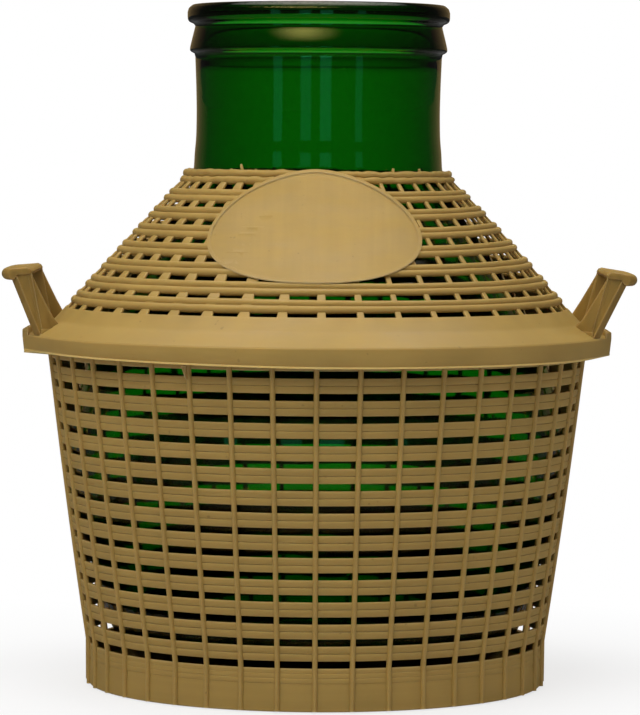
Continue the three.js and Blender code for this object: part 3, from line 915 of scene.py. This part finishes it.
def handle(lean):
    """Handle on the +X side, leaning further out by an angle about its foot."""
    half = HANDLE_LENGTH / 2
    whole = joined(grip(), leg(-half, -1), leg(half - LEG_THICKNESS, 1))
    return spun(whole, math.radians(lean), "Y", HANDLE_FOOT)


# Finishes

def nodes_of(name):
    """New material with an empty node tree."""
    material = bpy.data.materials.new(name)
    material.use_nodes = True
    tree = material.node_tree
    tree.nodes.clear()
    return material, tree


def add_node(tree, kind, values, **settings):
    """New shader node; values are numbers or sockets for its inputs."""
    made = tree.nodes.new("ShaderNode" + kind)
    for key, value in settings.items():
        setattr(made, key, value)
    for key, value in values.items():
        if isinstance(value, bpy.types.NodeSocket):
            tree.links.new(value, made.inputs[key])
        else:
            made.inputs[key].default_value = value
    return made


def maths(tree, operation, *values):
    return add_node(tree, "Math", dict(enumerate(values)), operation=operation).outputs[0]


def vector_maths(tree, operation, *values):
    return add_node(tree, "VectorMath", dict(enumerate(values)), operation=operation).outputs


def spread(tree, value, span, to_low, to_high):
    """Value mapped from its span to a new range, and held there."""
    low, high = span
    values = {"Value": value, "From Min": low, "From Max": high, "To Min": to_low, "To Max": to_high}
    return add_node(tree, "MapRange", values).outputs[0]


def blended(tree, share, first, second):
    """Colour between two colours."""
    return add_node(tree, "Mix", {0: share, 6: first, 7: second}, data_type="RGBA").outputs[2]


def clouds(tree, place, scale, detail, roughness=0.5):
    """Soft noise between 0 and 1."""
    values = {"Vector": place, "Scale": scale, "Detail": detail, "Roughness": roughness}
    return add_node(tree, "TexNoise", values).outputs["Fac"]


def swing(tree, pattern, amount):
    """Pattern turned into a change to both sides of zero."""
    return maths(tree, "MULTIPLY", maths(tree, "SUBTRACT", pattern, 0.5), amount)


def openness(tree, distance, inside):
    """How open it is within a short distance, outside or inside the surface."""
    settings = {"samples": OPENNESS_SAMPLES, "only_local": True, "inside": inside}
    return add_node(tree, "AmbientOcclusion", {"Distance": distance}, **settings).outputs["AO"]


def moulding_marks_and_painted_light():
    """Node group: flow streaks, mottling, specks, painted shade in hollows, wear and painted highlight on
    edges.
    """
    group = bpy.data.node_groups.new("moulding_marks_and_painted_light", "ShaderNodeTree")
    sockets = group.interface
    sockets.new_socket("Colour", in_out="INPUT", socket_type="NodeSocketColor")
    sockets.new_socket("Frequency", in_out="INPUT", socket_type="NodeSocketVector")
    for name in ("Streaks", "Mottling", "Painted shade", "Wear and highlight", "Specks", "Shift"):
        sockets.new_socket(name, in_out="INPUT", socket_type="NodeSocketFloat")
    sockets.new_socket("Colour", in_out="OUTPUT", socket_type="NodeSocketColor")
    sockets.new_socket("Roughness", in_out="OUTPUT", socket_type="NodeSocketFloat")
    sockets.new_socket("Height", in_out="OUTPUT", socket_type="NodeSocketFloat")
    given = group.nodes.new("NodeGroupInput").outputs
    result = group.nodes.new("NodeGroupOutput").inputs

    place = add_node(group, "TexCoord", {}).outputs["Object"]
    along = vector_maths(group, "MULTIPLY", place, given["Frequency"])[0]
    streak = clouds(group, along, 1.0, STREAK_DETAIL, STREAK_ROUGHNESS)
    mottle = clouds(group, place, MOTTLE_SCALE, MOTTLE_DETAIL)
    grain = clouds(group, place, GRAIN_SCALE, GRAIN_DETAIL)
    dots = clouds(group, place, SPECK_SCALE, SPECK_DETAIL)
    crevice = openness(group, CREVICE_REACH, False)
    brink = openness(group, BRINK_REACH, True)

    light = swing(group, streak, given["Streaks"])
    cloud = swing(group, mottle, given["Mottling"])
    base = maths(group, "ADD", given["Shift"], 1.0)
    value = maths(group, "ADD", maths(group, "ADD", light, cloud), base)
    colour = add_node(group, "HueSaturation", {"Color": given["Colour"], "Value": value}).outputs[0]
    # Painted shade: a dark colour laid into creases and hollows, where shade falls
    hollow = maths(group, "MULTIPLY", spread(group, crevice, CREVICE_OPEN, 1.0, 0.0), given["Painted shade"])
    painted_shade = maths(group, "MULTIPLY", hollow, spread(group, mottle, MIDDLING, LEAST_PAINTED_SHADE, 1.0))
    colour = blended(group, painted_shade, colour, PAINTED_SHADE_COLOUR)
    # Wear with a painted highlight: a pale colour laid on sharp outer edges
    wear_and_highlight = maths(group, "MULTIPLY", spread(group, brink, BRINK_OPEN, 1.0, 0.0), given["Wear and highlight"])
    colour = blended(group, wear_and_highlight, colour, WEAR_AND_HIGHLIGHT_COLOUR)
    speck = maths(group, "MULTIPLY", spread(group, dots, SPECK_PEAKS, 0.0, 1.0), given["Specks"])
    group.links.new(blended(group, speck, colour, SPECK), result["Colour"])
    sheen = spread(group, streak, MIDDLING, *SHEEN)
    dulled = maths(group, "MULTIPLY", painted_shade, PAINTED_SHADE_DULLS)
    group.links.new(maths(group, "ADD", sheen, dulled), result["Roughness"])
    drawn = maths(group, "MULTIPLY", streak, STREAK_BUMP)
    grained = maths(group, "MULTIPLY", grain, GRAIN_BUMP)
    group.links.new(maths(group, "ADD", drawn, grained), result["Height"])
    return group


def moulded_plastic(name, marks_and_light_group, bumps, amounts):
    """Tan plastic with its own amounts of the moulding marks and painted light."""
    material, tree = nodes_of(name)
    marks = add_node(tree, "Group", {}, node_tree=marks_and_light_group, name="marks")
    for key, value in amounts.items():
        marks.inputs[key].default_value = value
    relief = {"Height": marks.outputs["Height"], "Strength": bumps, "Distance": BUMP_DEPTH}
    bump = add_node(tree, "Bump", relief)
    shader = add_node(tree, "BsdfPrincipled", {
        "Base Color": marks.outputs["Colour"], "Roughness": marks.outputs["Roughness"],
        "Normal": bump.outputs["Normal"], "Specular IOR Level": 0.4,
        "Subsurface Weight": 0.35, "Subsurface Radius": (1.0, 0.6, 0.35), "Subsurface Scale": 0.003,
    })
    add_node(tree, "OutputMaterial", {"Surface": shader.outputs["BSDF"]})
    return material


def cover_marks_and_highlight(material):
    """Cover-only marks: flow marks below the bars, a painted highlight on the flash, and streaks on the
    badge.
    """
    tree = material.node_tree
    place = add_node(tree, "TexCoord", {}).outputs["Object"]
    parts = add_node(tree, "SeparateXYZ", {0: place}).outputs
    angle = maths(tree, "SUBTRACT", maths(tree, "ARCTAN2", parts["Y"], parts["X"]), BAR_FIRST)
    wave = maths(tree, "COSINE", maths(tree, "MULTIPLY", angle, float(BARS)))
    band = spread(tree, parts["Z"], FLOW_BAND, 0.0, FLOW_MARK)
    below = spread(tree, parts["Z"], FLOW_END, 1.0, 0.0)
    flow = maths(tree, "MULTIPLY", wave, maths(tree, "MULTIPLY", band, below))
    # Painted highlight along the flash at the foot of the skirt, which rises on the left
    lift = spread(tree, parts["X"], (LEFT_SKIRT_FROM * MM, 0.0), LEFT_SKIRT_LIFT * MM, 0.0)
    level = maths(tree, "SUBTRACT", parts["Z"], lift)
    edge = (SKIRT_BOTTOM + FLASH[1]) * MM
    flash_highlight = spread(tree, level, (edge - FLASH_HIGHLIGHT_FADE, edge + FLASH_HIGHLIGHT_FADE), FLASH_HIGHLIGHT, 0.0)
    shift = maths(tree, "ADD", maths(tree, "ADD", flow, flash_highlight), badge_streaks(tree, place, parts))
    tree.links.new(shift, tree.nodes["marks"].inputs["Shift"])


def badge_streaks(tree, place, parts):
    """Faint upright streaks on the badge, fading out towards its border."""
    middle = BADGE_WIDEST + (BADGE_RISE - BADGE_DROP) / 2
    half_height = (BADGE_RISE + BADGE_DROP) / 2
    across = maths(tree, "DIVIDE", parts["X"], BADGE_HALF_WIDTH * MM)
    up = maths(tree, "DIVIDE", maths(tree, "SUBTRACT", parts["Z"], middle * MM), half_height * MM)
    reach = maths(tree, "ADD", maths(tree, "POWER", across, 2.0), maths(tree, "POWER", up, 2.0))
    front = maths(tree, "LESS_THAN", parts["Y"], 0.0)
    inside = maths(tree, "MULTIPLY", spread(tree, reach, BADGE_STREAK_FADE, 1.0, 0.0), front)
    drawn = add_node(tree, "Mapping", {"Vector": place, "Scale": BADGE_STREAK_SCALE}).outputs[0]
    streak = clouds(tree, drawn, 1.0, BADGE_STREAK_DETAIL)
    return maths(tree, "MULTIPLY", swing(tree, streak, BADGE_STREAK), inside)


def green_glass():
    """Blown bottle glass: clear, deep green in its thickness, slightly wavy, with a few seeds in it."""
    material, tree = nodes_of("green_glass")
    place = add_node(tree, "TexCoord", {}).outputs["Object"]
    drawn = add_node(tree, "Mapping", {"Vector": place, "Scale": GLASS_WAVES}).outputs[0]
    waves = clouds(tree, drawn, 1.0, WAVE_DETAIL)
    seeds = add_node(tree, "TexVoronoi", {"Vector": place, "Scale": SEED_SCALE}).outputs["Distance"]
    seed = spread(tree, seeds, SEED_SIZE, 1.0, 0.0)
    level = add_node(tree, "SeparateXYZ", {0: place}).outputs["Z"]
    blown = maths(tree, "MULTIPLY", waves, spread(tree, level, WAVY_BELOW, 1.0, WAVES_LEFT))
    height = maths(tree, "ADD", blown, maths(tree, "MULTIPLY", seed, SEED_HEIGHT))
    bump = add_node(tree, "Bump", {"Height": height, "Strength": 0.2, "Distance": 0.003}).outputs["Normal"]
    smears = clouds(tree, place, SMEAR_SCALE, SMEAR_DETAIL)
    shader = add_node(tree, "BsdfPrincipled", {
        "Base Color": WHITE, "IOR": 1.5, "Transmission Weight": 1.0, "Normal": bump,
        "Roughness": spread(tree, smears, SMEARS, *GLASS_ROUGHNESS), "Specular Tint": GLASS_SHEEN,
    })
    depth = add_node(tree, "VolumeAbsorption", {"Color": GLASS_GREEN, "Density": GLASS_DENSITY})
    add_node(tree, "OutputMaterial", {"Surface": shader.outputs["BSDF"], "Volume": depth.outputs["Volume"]})
    return material


def placed(name, bm, finish, body, node, crease=CREASE):
    """Finished piece in metres, standing for its solid."""
    bmesh.ops.scale(bm, vec=(MM, MM, MM), verts=bm.verts)
    mesh = as_mesh(bm, name)
    mesh.shade_smooth()
    mesh.set_sharp_from_angle(angle=math.radians(crease))
    mesh.materials.append(finish)
    piece = bpy.data.objects.new(name, mesh)
    bpy.context.scene.collection.objects.link(piece)
    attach(piece, body)
    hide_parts(node)


# Amounts per plastic, with its painted shade in hollows and its wear and painted highlight on edges
plastic_marks_and_light = moulding_marks_and_painted_light()
basket_plastic = moulded_plastic("basket_plastic", plastic_marks_and_light, 0.06, {
    "Colour": TAN, "Frequency": (4.0, 4.0, 280.0), "Streaks": 0.22, "Mottling": 0.3,
    "Painted shade": 0.6, "Wear and highlight": 0.55, "Specks": 0.3,
})
cover_plastic = moulded_plastic("cover_plastic", plastic_marks_and_light, 0.2, {
    "Colour": TAN, "Frequency": (30.0, 30.0, 150.0), "Streaks": 0.22, "Mottling": 0.3,
    "Painted shade": 0.5, "Wear and highlight": 0.3, "Specks": 0.25,
})
cover_marks_and_highlight(cover_plastic)
handle_plastic = moulded_plastic("handle_plastic", plastic_marks_and_light, 0.4, {
    "Colour": HANDLE_SHADED_TAN, "Frequency": (150.0, 90.0, 30.0), "Streaks": 0.8, "Mottling": 0.7,
    "Painted shade": 0.6, "Wear and highlight": 0.3, "Specks": 0.6,
})

placed("basket", basket(), basket_plastic, "basket", "lower_basket")
placed("bottle", bottle(), green_glass(), "bottle", "glass_bottle", GLASS_CREASE)
placed("cover", cover(), cover_plastic, "cover", "upper_cover")
placed("handle_right", handle(RIGHT_LEAN), handle_plastic, "cover", "right_handle")
left_handle = spun(handle(LEFT_LEAN), math.pi)
placed("handle_left", left_handle, handle_plastic, "cover", "left_handle")


# Studio

def lamp(name, place, aim, size, power, colour=(1.0, 1.0, 1.0)):
    """Rectangular area light that the eye doesn't see."""
    light = bpy.data.lights.new(name, "AREA")
    light.shape = "RECTANGLE"
    light.size, light.size_y = size
    light.energy = power
    light.color = colour
    holder = bpy.data.objects.new(name, light)
    holder.location = place
    holder.rotation_euler = (Vector(aim) - Vector(place)).to_track_quat("-Z", "Y").to_euler()
    holder.visible_camera = False
    bpy.context.scene.collection.objects.link(holder)
    return holder


def seen_plainly(tree, paths):
    """1 for what the eye sees, straight or through glass."""
    return maths(tree, "MAXIMUM", paths["Is Camera Ray"], paths["Is Transmission Ray"])


def surroundings():
    """White background for the eye and through glass; dim surroundings, warm behind, in what is mirrored."""
    world = bpy.data.worlds.new("studio")
    bpy.context.scene.world = world
    world.use_nodes = True
    tree = world.node_tree
    tree.nodes.clear()
    paths = add_node(tree, "LightPath", {}).outputs
    direction = add_node(tree, "TexCoord", {}).outputs["Generated"]
    parts = add_node(tree, "SeparateXYZ", {0: direction}).outputs
    mirrored = blended(tree, spread(tree, parts["Z"], CEILING, 0.0, 1.0), DIM_ROOM, BRIGHT_CEILING)
    mirrored = blended(tree, spread(tree, parts["Y"], BEHIND, 0.0, 1.0), mirrored, WARM_BEHIND)
    aside = vector_maths(tree, "SUBTRACT", direction, GLOW_TOWARDS)[0]
    scaled = vector_maths(tree, "MULTIPLY", aside, GLOW_FALL)[0]
    distance = vector_maths(tree, "LENGTH", scaled)["Value"]
    glow = maths(tree, "POWER", spread(tree, distance, (0.0, 1.0), 1.0, 0.0), GLOW_POWER)
    mirrored = blended(tree, glow, mirrored, GLOW)
    ambient = spread(tree, maths(tree, "ABSOLUTE", parts["X"]), SIDES, *AMBIENT)
    lit = blended(tree, paths["Is Glossy Ray"], ambient, mirrored)
    seen = blended(tree, seen_plainly(tree, paths), lit, WHITE)
    background = add_node(tree, "Background", {"Color": seen, "Strength": 1.0})
    add_node(tree, "OutputWorld", {"Surface": background.outputs[0]})


def floor():
    """Ground that is white to the eye, with a soft shadow close to the basket."""
    bm = bmesh.new()
    bmesh.ops.create_grid(bm, x_segments=2, y_segments=2, size=GROUND_SIZE)
    bmesh.ops.translate(bm, vec=(0, 0, GROUND_LEVEL), verts=bm.verts)
    mesh = as_mesh(bm, "floor")
    material, tree = nodes_of("floor")
    paths = add_node(tree, "LightPath", {}).outputs
    shown = seen_plainly(tree, paths)
    place = add_node(tree, "TexCoord", {}).outputs["Object"]
    distance = vector_maths(tree, "LENGTH", place)["Value"]
    clear = maths(tree, "MULTIPLY", shown, spread(tree, distance, SHADOW_REACH, SHADOW_CLEARED, 1.0))
    bounced = blended(tree, paths["Is Glossy Ray"], GROUND_LIT, GROUND_MIRRORED)
    diffuse = add_node(tree, "BsdfDiffuse", {"Color": blended(tree, shown, bounced, GROUND_SEEN)})
    glow = add_node(tree, "Emission", {"Color": WHITE, "Strength": 1.0})
    mixed = add_node(tree, "MixShader", {0: clear, 1: diffuse.outputs[0], 2: glow.outputs[0]})
    add_node(tree, "OutputMaterial", {"Surface": mixed.outputs[0]})
    mesh.materials.append(material)
    ground = bpy.data.objects.new("floor", mesh)
    bpy.context.scene.collection.objects.link(ground)


for name, place, aim, size, power, through_glass in SOFTBOXES:
    softbox = lamp(name, place, aim, size, power)
    softbox.visible_glossy = False
    softbox.visible_transmission = through_glass

for angle, width, low, high, strength in PANES:
    turn = math.radians(angle)
    middle = (low + high) / 2
    place = (PANE_REACH * math.sin(turn), -PANE_REACH * math.cos(turn), middle)
    size = (width, high - low)
    power = PANE_POWER * strength * width * (high - low)
    pane = lamp(f"pane_{angle:g}_{low:g}", place, (0.0, 0.0, middle), size, power, PANE_COLOUR)
    pane.visible_diffuse = False
    pane.visible_transmission = False

surroundings()
floor()

lens = bpy.data.cameras.new("camera")
lens.lens = EYE_LENS
lens.sensor_width = EYE_SENSOR
lens.clip_end = EYE_FAR
camera = bpy.data.objects.new("camera", lens)
camera.location = EYE
camera.rotation_euler = [math.radians(turn) for turn in EYE_TURN]
bpy.context.scene.collection.objects.link(camera)
bpy.context.scene.camera = camera
bpy.context.scene.view_settings.view_transform = "Standard"
